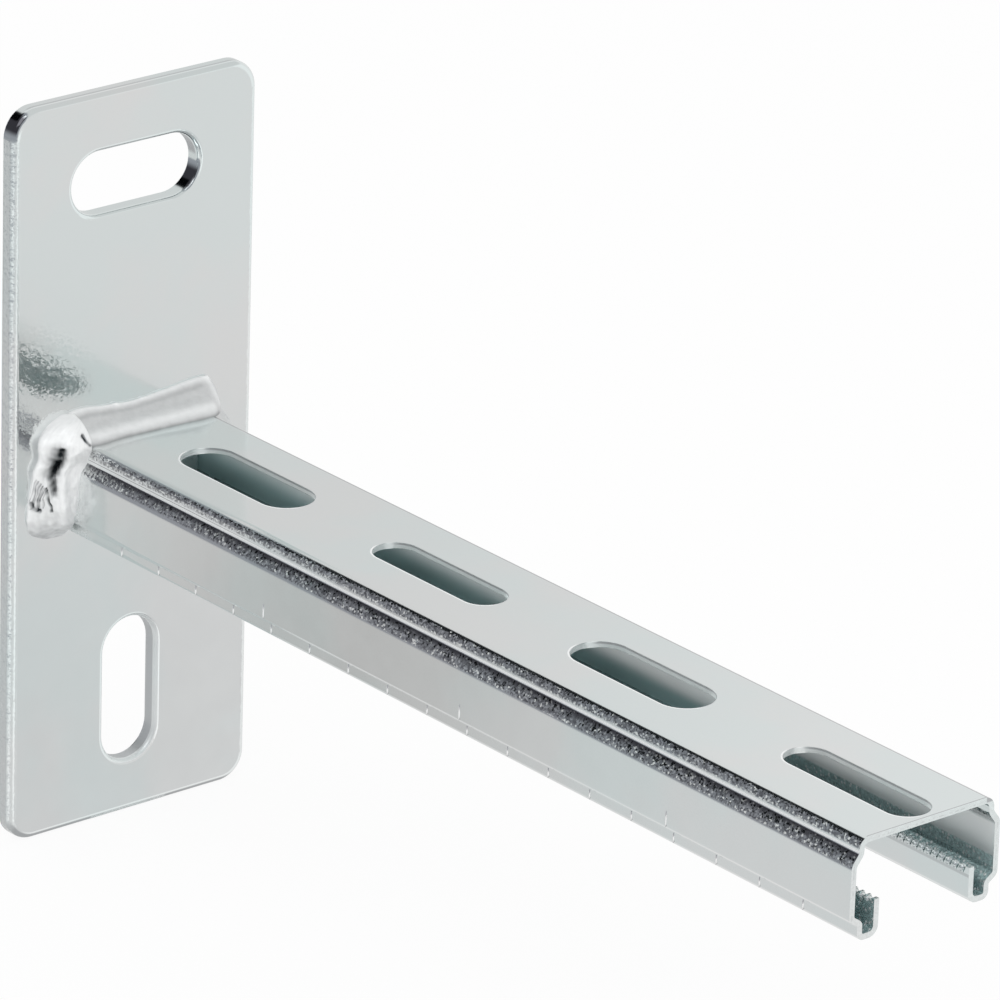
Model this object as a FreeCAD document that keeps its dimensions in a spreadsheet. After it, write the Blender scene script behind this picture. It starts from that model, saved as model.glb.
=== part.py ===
import FreeCAD, Part
import math
import os

import Sketcher

# A wall arm: an upright punched plate with a slotted C-channel rail welded square to its front.
# X runs out from the wall, Y to the right and Z up. The origin is the centre of the plate's back face.

# Driving sizes in millimetres.
SIZES = [
    # Base plate
    ("plate_width", 50.0),
    ("plate_height", 130.0),
    ("plate_thickness", 3.0),
    ("plate_corner_radius", 5.0),
    ("plate_edge_radius", 1.3),
    ("slot_edge_radius", 0.85),
    ("wall_slot_width", 11.0),
    ("upper_slot_length", 26.0),
    ("upper_slot_rise", 49.5),
    ("lower_slot_length", 26.0),
    ("lower_slot_drop", 42.5),
    # Rail section
    ("rail_length", 197.0),
    ("rail_width", 30.0),
    ("rail_height", 17.0),
    ("rail_top_level", 6.0),
    ("sheet_gauge", 1.0),
    ("neck_width", 27.2),
    ("neck_depth", 2.5),
    ("shoulder_depth", 4.3),
    ("foot_width", 26.6),
    ("foot_height", 2.5),
    ("wall_foot_height", 3.6),
    ("mouth_width", 18.2),
    ("lip_height", 6.1),
    # Notches along the lips
    ("tooth_pitch", 1.5),
    ("notch_width", 1.1),
    ("notch_depth", 1.2),
    # Inside radii of the bends
    ("corner_bend", 0.9),
    ("neck_bend", 0.8),
    ("shoulder_bend", 1.2),
    ("foot_bend", 0.4),
    ("heel_bend", 0.3),
    ("toe_bend", 0.8),
    # Slots in the web
    ("rail_slot_length", 30.0),
    ("wide_slot_width", 10.0),
    ("narrow_slot_width", 8.0),
    ("first_slot_distance", 31.0),
    ("rail_slot_pitch", 50.0),
    # Weld beads
    ("top_weld_plate_leg", 4.8),
    ("top_weld_rail_leg", 6.4),
    ("side_weld_plate_leg", 6.8),
    ("side_weld_rail_leg", 5.2),
    ("weld_overrun", 4.4),
]

VALUE = dict(SIZES)
WIDE_SLOT_COUNT = 2
NARROW_SLOT_COUNT = 2
TOLERANCE = 0.02


def sheet_with_sizes(doc):
    """Put every driving size in a sheet, one named cell each."""
    sheet = doc.addObject("Spreadsheet::Sheet", "Sizes")
    for row, (name, size) in enumerate(SIZES, start=1):
        sheet.set(f"A{row}", name)
        sheet.set(f"B{row}", str(size))
        sheet.setAlias(f"B{row}", name)
    doc.recompute()
    return sheet


def new_body(doc, name):
    body = doc.addObject("PartDesign::Body", name)
    body.Label = name
    return body


def origin_plane(body, role):
    return next(item for item in body.Origin.OriginFeatures if item.Role == role)


def new_sketch(body, name, role, offset=None):
    """A sketch on one of the body's own planes, moved along the plane's normal or across it."""
    sketch = body.newObject("Sketcher::SketchObject", name)
    sketch.AttachmentSupport = [(origin_plane(body, role), "")]
    sketch.MapMode = "FlatFace"
    for axis, formula in (offset or {}).items():
        sketch.setExpression(f"AttachmentOffset.Base.{axis}", formula)
    return sketch


def bind(sketch, constraint, formula):
    index = sketch.addConstraint(constraint)
    sketch.setExpression(f"Constraints[{index}]", formula)


def edges_at(shape, direction, places, tolerance=TOLERANCE):
    """Names of the straight edges that run along a direction and pass through one of the places.

    A place holds the two coordinates across the direction, in X, Y, Z order.
    """
    across = [axis for axis in range(3) if abs(direction[axis]) < 0.5]
    names = []
    for number, edge in enumerate(shape.Edges, start=1):
        if not isinstance(edge.Curve, Part.Line):
            continue
        if abs(edge.Curve.Direction.dot(direction)) < 0.9999:
            continue
        point = edge.CenterOfMass
        for place in places:
            if all(abs(point[axis] - goal) < tolerance for axis, goal in zip(across, place)):
                names.append(f"Edge{number}")
                break
    return names


def add_fillet(body, base, name, edge_names, formula):
    if not edge_names:
        raise RuntimeError(f"{name} found no edges")
    fillet = body.newObject("PartDesign::Fillet", name)
    fillet.Base = (base, edge_names)
    fillet.setExpression("Radius", formula)
    body.Document.recompute()
    return fillet


def slot_sketch(body, name, role, offset, length, width, upright=False):
    """A round-ended slot about the sketch's origin, long across it or, if upright, up it."""
    sketch = new_sketch(body, name, role, offset)
    half = (value_of(length) - value_of(width)) / 2
    radius = value_of(width) / 2

    def point(along, across):
        return FreeCAD.Vector(across, along, 0) if upright else FreeCAD.Vector(along, across, 0)

    quarter = math.pi / 2
    turn = quarter if upright else 0.0
    normal = FreeCAD.Vector(0, 0, 1)
    first = Part.Circle(point(half, 0), normal, radius)
    last = Part.Circle(point(-half, 0), normal, radius)
    sketch.addGeometry(Part.ArcOfCircle(first, turn - quarter, turn + quarter), False)
    sketch.addGeometry(Part.ArcOfCircle(last, turn + quarter, turn + 3 * quarter), False)
    side = -radius if upright else radius
    sketch.addGeometry(Part.LineSegment(point(half, side), point(-half, side)), False)
    sketch.addGeometry(Part.LineSegment(point(-half, -side), point(half, -side)), False)
    sketch.addConstraint(Sketcher.Constraint("Tangent", 0, 2, 2, 1))
    sketch.addConstraint(Sketcher.Constraint("Tangent", 2, 2, 1, 1))
    sketch.addConstraint(Sketcher.Constraint("Tangent", 1, 2, 3, 1))
    sketch.addConstraint(Sketcher.Constraint("Tangent", 3, 2, 0, 1))
    sketch.addConstraint(Sketcher.Constraint("Symmetric", 0, 3, 1, 3, -1, 1))
    sketch.addConstraint(Sketcher.Constraint("PointOnObject", 0, 3, -2 if upright else -1))
    apart = "DistanceY" if upright else "DistanceX"
    bind(sketch, Sketcher.Constraint(apart, 1, 3, 0, 3, 2 * half), f"{sized(length)} - {sized(width)}")
    bind(sketch, Sketcher.Constraint("Radius", 0, radius), f"{sized(width)} / 2")
    body.Document.recompute()
    return sketch


def sized(name):
    return f"Sizes.{name}"


def value_of(name):
    return VALUE[name]


def cut_through(body, sketch, name, formula, midplane=False):
    """A pocket that has to take material away, or the build stops."""
    before = body.Shape.Volume
    pocket = body.newObject("PartDesign::Pocket", name)
    pocket.Profile = sketch
    pocket.Midplane = midplane
    pocket.setExpression("Length", formula)
    body.Document.recompute()
    if not body.Shape.Volume < before - TOLERANCE:
        raise RuntimeError(f"{name} cuts nothing")
    return pocket


# Base plate


def base_plate(doc):
    """The wall plate: rounded corners, rolled front edges, a level slot above and an upright one below."""
    body = new_body(doc, "base_plate")
    outline = new_sketch(body, "plate_outline", "YZ_Plane")
    half_wide = value_of("plate_width") / 2
    half_high = value_of("plate_height") / 2
    corners = [
        (-half_wide, -half_high), (half_wide, -half_high), (half_wide, half_high), (-half_wide, half_high),
    ]
    for start, end in zip(corners, corners[1:] + corners[:1]):
        outline.addGeometry(Part.LineSegment(FreeCAD.Vector(*start, 0), FreeCAD.Vector(*end, 0)), False)
    for side in range(4):
        outline.addConstraint(Sketcher.Constraint("Coincident", side, 2, (side + 1) % 4, 1))
    for side, way in enumerate(("Horizontal", "Vertical", "Horizontal", "Vertical")):
        outline.addConstraint(Sketcher.Constraint(way, side))
    outline.addConstraint(Sketcher.Constraint("Symmetric", 0, 1, 1, 2, -1, 1))
    bind(outline, Sketcher.Constraint("DistanceX", 0, 1, 0, 2, 2 * half_wide), sized("plate_width"))
    bind(outline, Sketcher.Constraint("DistanceY", 1, 1, 1, 2, 2 * half_high), sized("plate_height"))
    doc.recompute()

    plate = body.newObject("PartDesign::Pad", "plate_sheet")
    plate.Profile = outline
    plate.setExpression("Length", sized("plate_thickness"))
    doc.recompute()

    along = FreeCAD.Vector(1, 0, 0)
    rounded = add_fillet(
        body, plate, "plate_corners", edges_at(body.Shape, along, corners), sized("plate_corner_radius")
    )
    front = value_of("plate_thickness")
    rims = [
        f"Edge{number}"
        for number, edge in enumerate(body.Shape.Edges, start=1)
        if abs(edge.BoundBox.XMin - front) < TOLERANCE and abs(edge.BoundBox.XMax - front) < TOLERANCE
    ]
    add_fillet(body, rounded, "rolled_outline", rims, sized("plate_edge_radius"))

    upper = slot_sketch(
        body, "upper_slot_outline", "YZ_Plane", {"y": sized("upper_slot_rise")},
        "upper_slot_length", "wall_slot_width",
    )
    cut_through(body, upper, "upper_slot", sized("plate_thickness") + " * 2", midplane=True)
    lower = slot_sketch(
        body, "lower_slot_outline", "YZ_Plane", {"y": "-" + sized("lower_slot_drop")},
        "lower_slot_length", "wall_slot_width", upright=True,
    )
    last = cut_through(body, lower, "lower_slot", sized("plate_thickness") + " * 2", midplane=True)

    reach = value_of("wall_slot_width") / 2
    slots = [
        (value_of("upper_slot_rise"), value_of("upper_slot_length") / 2, reach),
        (-value_of("lower_slot_drop"), reach, value_of("lower_slot_length") / 2),
    ]
    rims = []
    for number, edge in enumerate(body.Shape.Edges, start=1):
        box = edge.BoundBox
        if abs(box.XMin - front) > TOLERANCE or abs(box.XMax - front) > TOLERANCE:
            continue
        for level, half_y, half_z in slots:
            inside_y = max(abs(box.YMin), abs(box.YMax)) < half_y + TOLERANCE
            inside_z = max(abs(box.ZMin - level), abs(box.ZMax - level)) < half_z + TOLERANCE
            if inside_y and inside_z:
                rims.append(f"Edge{number}")
    add_fillet(body, last, "rolled_slot_rims", rims, sized("slot_edge_radius"))
    return body


# Channel rail


def slant_miter(run, rise):
    """How far a slanted stretch of sheet shifts its inner corner along the wall, for one sheet gauge."""
    return f"({sized('sheet_gauge')} * (sqrt(({run}) ^ 2 + ({rise}) ^ 2) - ({rise})) / ({run}))"


def rail_half_outline():
    """Corners of half the rail's section, as name, distance from the middle and height above the feet.

    They run down the outside from the web to the lip and back up the inside.
    """
    gauge = sized("sheet_gauge")
    top = sized("rail_height")
    neck = f"({sized('neck_width')} / 2)"
    wall = f"({sized('rail_width')} / 2)"
    foot = f"({sized('foot_width')} / 2)"
    mouth = f"({sized('mouth_width')} / 2)"
    shoulder_run = f"{wall} - {neck}"
    shoulder_rise = f"{sized('shoulder_depth')} - {sized('neck_depth')}"
    foot_run = f"{wall} - {foot}"
    foot_rise = f"{sized('wall_foot_height')} - {sized('foot_height')}"
    shoulder_shift = slant_miter(shoulder_run, shoulder_rise)
    foot_shift = slant_miter(foot_run, foot_rise)
    neck_level = f"{top} - {sized('neck_depth')}"
    shoulder_level = f"{top} - {sized('shoulder_depth')}"
    wall_level = sized("wall_foot_height")
    foot_level = sized("foot_height")
    lip = sized("lip_height")
    return [
        ("outer_corner", neck, top),
        ("outer_neck", neck, neck_level),
        ("outer_shoulder", wall, shoulder_level),
        ("outer_step", wall, wall_level),
        ("outer_foot", foot, foot_level),
        ("outer_heel", foot, "0"),
        ("outer_toe", mouth, "0"),
        ("outer_lip", mouth, lip),
        ("inner_lip", f"{mouth} + {gauge}", lip),
        ("inner_toe", f"{mouth} + {gauge}", gauge),
        ("inner_heel", f"{foot} - {gauge}", gauge),
        ("inner_foot", f"{foot} - {gauge}", f"{foot_level} + {foot_shift}"),
        ("inner_step", f"{wall} - {gauge}", f"{wall_level} + {foot_shift}"),
        ("inner_shoulder", f"{wall} - {gauge}", f"{shoulder_level} - {shoulder_shift}"),
        ("inner_neck", f"{neck} - {gauge}", f"{neck_level} - {shoulder_shift}"),
        ("inner_corner", f"{neck} - {gauge}", f"{top} - {gauge}"),
    ]


def rail_outline_sketch(body):
    """The rail's whole section, its right half set by size and its left half mirrored from it."""
    sheet = body.Document.getObject("Sizes")
    sketch = new_sketch(
        body, "rail_section", "YZ_Plane",
        {"y": f"{sized('rail_top_level')} - {sized('rail_height')}", "z": sized("plate_thickness")},
    )
    half = rail_half_outline()
    right = [(sheet.evalExpression(across), sheet.evalExpression(up)) for name, across, up in half]
    ring = right + [(-across, up) for across, up in reversed(right)]
    count = len(ring)
    for start, end in zip(ring, ring[1:] + ring[:1]):
        sketch.addGeometry(Part.LineSegment(FreeCAD.Vector(*start, 0), FreeCAD.Vector(*end, 0)), False)
    for side in range(count):
        sketch.addConstraint(Sketcher.Constraint("Coincident", side, 2, (side + 1) % count, 1))
    for corner, ((name, across, up), (y, z)) in enumerate(zip(half, right)):
        bind(sketch, Sketcher.Constraint("DistanceX", -1, 1, corner, 1, y), across)
        if z > 0:
            bind(sketch, Sketcher.Constraint("DistanceY", -1, 1, corner, 1, z), up)
        else:
            sketch.addConstraint(Sketcher.Constraint("PointOnObject", corner, 1, -1))
        sketch.addConstraint(Sketcher.Constraint("Symmetric", corner, 1, count - 1 - corner, 1, -2))
    body.Document.recompute()
    places = {name: place for (name, across, up), place in zip(half, right)}
    return sketch, places


def round_bends(body, base, places):
    """Round every bend, its inner side by the bend radius and its outer side by a gauge more."""
    gauge = sized("sheet_gauge")
    bends = [
        ("outer_corner", f"{sized('corner_bend')} + {gauge}"),
        ("inner_corner", sized("corner_bend")),
        ("outer_neck", sized("neck_bend")),
        ("inner_neck", f"{sized('neck_bend')} + {gauge}"),
        ("outer_shoulder", f"{sized('shoulder_bend')} + {gauge}"),
        ("inner_shoulder", sized("shoulder_bend")),
        ("outer_step", f"{sized('foot_bend')} + {gauge}"),
        ("inner_step", sized("foot_bend")),
        ("outer_foot", sized("foot_bend")),
        ("inner_foot", f"{sized('foot_bend')} + {gauge}"),
        ("outer_heel", f"{sized('heel_bend')} + {gauge}"),
        ("outer_toe", f"{sized('toe_bend')} + {gauge}"),
        ("inner_heel", sized("heel_bend")),
        ("inner_toe", sized("toe_bend")),
    ]
    floor = value_of("rail_top_level") - value_of("rail_height")
    along = FreeCAD.Vector(1, 0, 0)
    for name, radius in bends:
        across, up = places[name]
        pair = [(across, up + floor), (-across, up + floor)]
        base = add_fillet(body, base, f"{name}_bend", edges_at(body.Shape, along, pair), radius)
    return base


def row_of_slots(body, name, width, count, distance):
    """Round-ended slots along the web, every second place of the slot pitch."""
    doc = body.Document
    outline = slot_sketch(
        body, f"{name}_outline", "XY_Plane", {"x": distance, "z": sized("rail_top_level")},
        "rail_slot_length", width,
    )
    first = cut_through(body, outline, f"{name}_first", f"{sized('sheet_gauge')} * 2")
    before = body.Shape.Volume
    row = body.newObject("PartDesign::LinearPattern", f"{name}_row")
    row.Originals = [first]
    row.Direction = (origin_plane(body, "X_Axis"), [""])
    row.setExpression("Length", f"{sized('rail_slot_pitch')} * 2 * {count - 1}")
    row.Occurrences = count
    body.Tip = row
    doc.recompute()
    if not body.Shape.Volume < before - TOLERANCE:
        raise RuntimeError(f"{name} row adds no slots")
    return row


def lip_teeth(body):
    """The bite of the channel nut: V notches in step along the tops of both lips."""
    doc = body.Document
    lip_level = f"{sized('rail_top_level')} - {sized('rail_height')} + {sized('lip_height')}"
    sketch = new_sketch(
        body, "tooth_notch_outline", "XZ_Plane",
        {"x": f"{sized('plate_thickness')} + {sized('tooth_pitch')} / 2", "y": lip_level},
    )
    half = value_of("notch_width") / 2
    depth = value_of("notch_depth")
    corners = [(-half, 0), (0, -depth), (half, 0)]
    for start, end in zip(corners, corners[1:] + corners[:1]):
        sketch.addGeometry(Part.LineSegment(FreeCAD.Vector(*start, 0), FreeCAD.Vector(*end, 0)), False)
    for side in range(3):
        sketch.addConstraint(Sketcher.Constraint("Coincident", side, 2, (side + 1) % 3, 1))
    sketch.addConstraint(Sketcher.Constraint("Symmetric", 0, 1, 1, 2, -1, 1))
    sketch.addConstraint(Sketcher.Constraint("PointOnObject", 0, 2, -2))
    bind(sketch, Sketcher.Constraint("DistanceX", 0, 1, 1, 2, 2 * half), sized("notch_width"))
    bind(sketch, Sketcher.Constraint("DistanceY", 0, 2, -1, 1, depth), sized("notch_depth"))
    doc.recompute()
    across_lips = f"{sized('mouth_width')} + 3 * {sized('sheet_gauge')}"
    notch = cut_through(body, sketch, "tooth_notch", across_lips, midplane=True)
    before = body.Shape.Volume
    count = int(value_of("rail_length") / value_of("tooth_pitch"))
    row = body.newObject("PartDesign::LinearPattern", "tooth_row")
    row.Originals = [notch]
    row.Direction = (origin_plane(body, "X_Axis"), [""])
    row.setExpression("Length", f"{sized('tooth_pitch')} * {count - 1}")
    row.Occurrences = count
    body.Tip = row
    doc.recompute()
    if not body.Shape.Volume < before - TOLERANCE:
        raise RuntimeError("the tooth row adds no notches")
    return row


def channel_rail(doc):
    """The light channel: stepped shoulders and feet, toothed lips, and wide and narrow slots in turn."""
    body = new_body(doc, "rolled_channel")
    section, places = rail_outline_sketch(body)
    length = body.newObject("PartDesign::Pad", "rail_strip")
    length.Profile = section
    length.setExpression("Length", sized("rail_length"))
    doc.recompute()
    round_bends(body, length, places)
    first = f"{sized('plate_thickness')} + {sized('first_slot_distance')}"
    row_of_slots(body, "wide_slot", "wide_slot_width", WIDE_SLOT_COUNT, first)
    second = f"{first} + {sized('rail_slot_pitch')}"
    row_of_slots(body, "narrow_slot", "narrow_slot_width", NARROW_SLOT_COUNT, second)
    lip_teeth(body)
    return body


# Weld beads

# Slices along a bead: the place as a share of the way from its middle to its end, and the two legs, up the
# plate and out along the rail, as shares of their full lengths. The top bead runs from left to right, and a
# side bead from the rail's underside to past its web.
TOP_BEAD_SLICES = [
    (-1.0, 0.84, 0.84), (-0.5, 0.85, 0.85), (0.1, 0.87, 0.87), (0.55, 0.98, 0.98),
    (0.78, 1.04, 0.98), (0.92, 1.0, 0.7), (1.0, 0.8, 0.36),
]
LEFT_BEAD_SLICES = [
    (-1.0, 0.58, 0.55), (-0.85, 0.7, 0.68), (-0.5, 0.83, 0.88), (0.0, 1.0, 0.98),
    (0.5, 1.0, 1.04), (0.85, 0.85, 0.9), (1.0, 0.5, 0.5),
]
RIGHT_BEAD_SLICES = [
    (-1.0, 0.5, 0.5), (-0.85, 0.72, 0.72), (-0.3, 0.8, 0.8), (0.3, 0.78, 0.78), (0.6, 0.52, 0.52),
]
# How far a bead's face bulges past the straight line between its toes, as a share of its depth.
FLAT_CROWN = 0.18
FULL_CROWN = 0.3


def bead_slice(corner, plate_toe, rail_toe, crown):
    """The outline of one slice of a fillet weld: two straight legs and a crowned face between the toes."""
    middle = (plate_toe + rail_toe) / 2
    top = middle + (middle - corner) * crown
    return Part.Wire([
        Part.LineSegment(corner, rail_toe).toShape(),
        Part.Arc(rail_toe, top, plate_toe).toShape(),
        Part.LineSegment(plate_toe, corner).toShape(),
    ])


def bead(start, end, out, slices, rail_leg, plate_leg, sink, crown):
    """A weld bead lofted along the plate from start to end.

    Its corner line lies sink inside the rail's sheet, and its plate legs reach out from there.
    """
    middle = (start + end) / 2
    reach = (end - start) / 2
    outlines = []
    for place, plate_share, rail_share in slices:
        corner = middle + reach * place
        plate_toe = corner + out * (sink + plate_leg * plate_share)
        rail_toe = corner + FreeCAD.Vector(rail_leg * rail_share, 0, 0)
        outlines.append(bead_slice(corner, plate_toe, rail_toe, crown))
    shape = Part.makeLoft(outlines, True, True)
    if shape.Volume < 0:
        shape.reverse()
    return shape


def seated(shape, *carriers):
    """The bead less everything that it lies on, as one solid."""
    for carrier in carriers:
        shape = shape.cut(carrier)
    return max(shape.Solids, key=lambda solid: solid.Volume)


def rail_core():
    """A plain block that fills the rail's hollow out to the middle of its narrowest walls."""
    half_sheet = value_of("sheet_gauge") / 2
    half_width = value_of("foot_width") / 2 - half_sheet
    height = value_of("rail_height") - half_sheet
    floor = value_of("rail_top_level") - value_of("rail_height")
    corner = FreeCAD.Vector(value_of("plate_thickness"), -half_width, floor)
    return Part.makeBox(value_of("rail_length"), 2 * half_width, height, corner)


def plain_feature(doc, name, shape):
    feature = doc.addObject("Part::Feature", name)
    feature.Label = name
    feature.Shape = shape
    return feature


def welded_rail(doc, rail):
    """The rail with the three beads that join it to the plate, over the web and down each side.

    The top bead melts half way into the web, so its print is cut from the rail. The side beads lie on
    the walls.
    """
    front = value_of("plate_thickness")
    top = value_of("rail_top_level")
    bottom = top - value_of("rail_height")
    neck = value_of("neck_width") / 2
    overrun = value_of("weld_overrun")
    half_sheet = value_of("sheet_gauge") / 2
    step = (value_of("rail_width") - value_of("neck_width")) / 2
    up = FreeCAD.Vector(0, 0, 1)
    right = FreeCAD.Vector(0, 1, 0)

    web_level = top - half_sheet
    top_bead = bead(
        FreeCAD.Vector(front, -neck, web_level), FreeCAD.Vector(front, neck + overrun, web_level), up,
        TOP_BEAD_SLICES, value_of("top_weld_rail_leg"), value_of("top_weld_plate_leg"), half_sheet,
        FLAT_CROWN,
    )
    side_beads = []
    for way, slices in ((-1, LEFT_BEAD_SLICES), (1, RIGHT_BEAD_SLICES)):
        inner = way * (neck - half_sheet)
        side_beads.append(bead(
            FreeCAD.Vector(front, inner, bottom), FreeCAD.Vector(front, inner, top + overrun), right * way,
            slices, value_of("side_weld_rail_leg"), value_of("side_weld_plate_leg"), half_sheet + step,
            FULL_CROWN,
        ))
    left_bead, right_bead = side_beads
    core = rail_core()
    welds = {
        "left_weld": seated(left_bead, rail.Shape, core),
        "top_weld": seated(top_bead, core, left_bead),
        "right_weld": seated(right_bead, rail.Shape, core, top_bead),
    }
    print_of_top = plain_feature(doc, "top_weld_root", top_bead)
    joined_rail = doc.addObject("Part::Cut", "channel_rail")
    joined_rail.Label = "channel_rail"
    joined_rail.Base = rail
    joined_rail.Tool = print_of_top
    return [joined_rail, *(plain_feature(doc, name, shape) for name, shape in welds.items())]


def check_document(doc):
    for item in doc.Objects:
        if "Invalid" in item.State or "Error" in item.State:
            raise RuntimeError(f"{item.Label} failed: {item.State}")


def write_parts(pieces):
    os.makedirs("parts", exist_ok=True)
    for piece in pieces:
        shape = piece.Shape
        if shape.isNull() or not shape.isValid():
            raise RuntimeError(f"{piece.Label} has no valid shape")
        shape.exportStep(os.path.join("parts", f"{piece.Label}.step"))
        box = shape.BoundBox
        print(f"{piece.Label}: {len(shape.Solids)} solid, {shape.Volume:.1f} mm3, "
              f"X {box.XMin:.2f} to {box.XMax:.2f}, Y {box.YMin:.2f} to {box.YMax:.2f}, "
              f"Z {box.ZMin:.2f} to {box.ZMax:.2f}")


def build():
    doc = FreeCAD.newDocument("wall_arm")
    sheet_with_sizes(doc)
    plate = base_plate(doc)
    rail = channel_rail(doc)
    rail_and_welds = welded_rail(doc, rail)
    doc.recompute()
    check_document(doc)
    write_parts([plate, *rail_and_welds])


build()
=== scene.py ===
"""Looks of a zinc-plated wall arm: a punched plate, a slotted channel rail and three weld beads.

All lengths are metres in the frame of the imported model, X out from the wall, Y right and Z up, except
where a name or a docstring says millimetres.
"""
import logging
import math
from dataclasses import dataclass
from enum import Enum
from functools import partial, reduce
from typing import Optional, Union

import bmesh
import bpy
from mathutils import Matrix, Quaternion, Vector, noise


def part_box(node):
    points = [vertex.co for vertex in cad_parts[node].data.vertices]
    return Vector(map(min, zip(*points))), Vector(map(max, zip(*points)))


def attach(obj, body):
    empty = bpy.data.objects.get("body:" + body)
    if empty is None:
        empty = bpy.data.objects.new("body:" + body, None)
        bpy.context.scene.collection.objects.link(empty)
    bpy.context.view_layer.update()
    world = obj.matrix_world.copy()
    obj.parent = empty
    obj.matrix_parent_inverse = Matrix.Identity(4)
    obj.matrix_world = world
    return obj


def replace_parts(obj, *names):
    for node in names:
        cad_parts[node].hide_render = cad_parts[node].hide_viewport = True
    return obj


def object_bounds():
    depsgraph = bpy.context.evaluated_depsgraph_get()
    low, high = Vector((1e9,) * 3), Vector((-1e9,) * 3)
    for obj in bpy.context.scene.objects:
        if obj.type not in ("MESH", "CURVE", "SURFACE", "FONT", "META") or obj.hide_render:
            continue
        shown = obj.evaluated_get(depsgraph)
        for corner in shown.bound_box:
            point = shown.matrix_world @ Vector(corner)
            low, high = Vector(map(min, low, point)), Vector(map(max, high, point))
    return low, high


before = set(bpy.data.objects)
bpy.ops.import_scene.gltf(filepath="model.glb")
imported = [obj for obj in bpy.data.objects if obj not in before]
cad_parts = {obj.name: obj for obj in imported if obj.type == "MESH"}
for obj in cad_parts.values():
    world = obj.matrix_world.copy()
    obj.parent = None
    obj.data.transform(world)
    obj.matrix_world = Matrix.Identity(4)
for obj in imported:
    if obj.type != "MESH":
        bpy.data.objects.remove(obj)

CAD_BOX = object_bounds()
MM = 0.001
BODY = "root"
SHADE = "shade"
NOISE_SEED = 1
LUMP_RINGS = 8

LOG = logging.getLogger("wall_arm")

Pair = tuple[float, float]
Triple = tuple[float, float, float]
Band = tuple[float, ...]
Colour = Triple
Socket = bpy.types.NodeSocket
Feed = Union[float, Colour, Socket]
Patch = tuple[Feed, dict[str, float]]

WHITE: Colour = (1.0, 1.0, 1.0)


class Slot(Enum):
    """The record's material slots."""

    PLATE = "plate_zinc"
    RAIL = "rail_zinc"
    WELD = "weld_zinc"


def soft_step(low: float, high: float, number: float) -> float:
    """Rise smoothly from 0 at low to 1 at high."""
    share = min(max((number - low) / (high - low), 0.0), 1.0)
    return share * share * (3 - 2 * share)


@dataclass(frozen=True)
class Noise:
    """Even noise: the size of its largest features, its number of finer layers and their strength."""

    size: float
    layers: float = 3.0
    rough: float = 0.6


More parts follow.
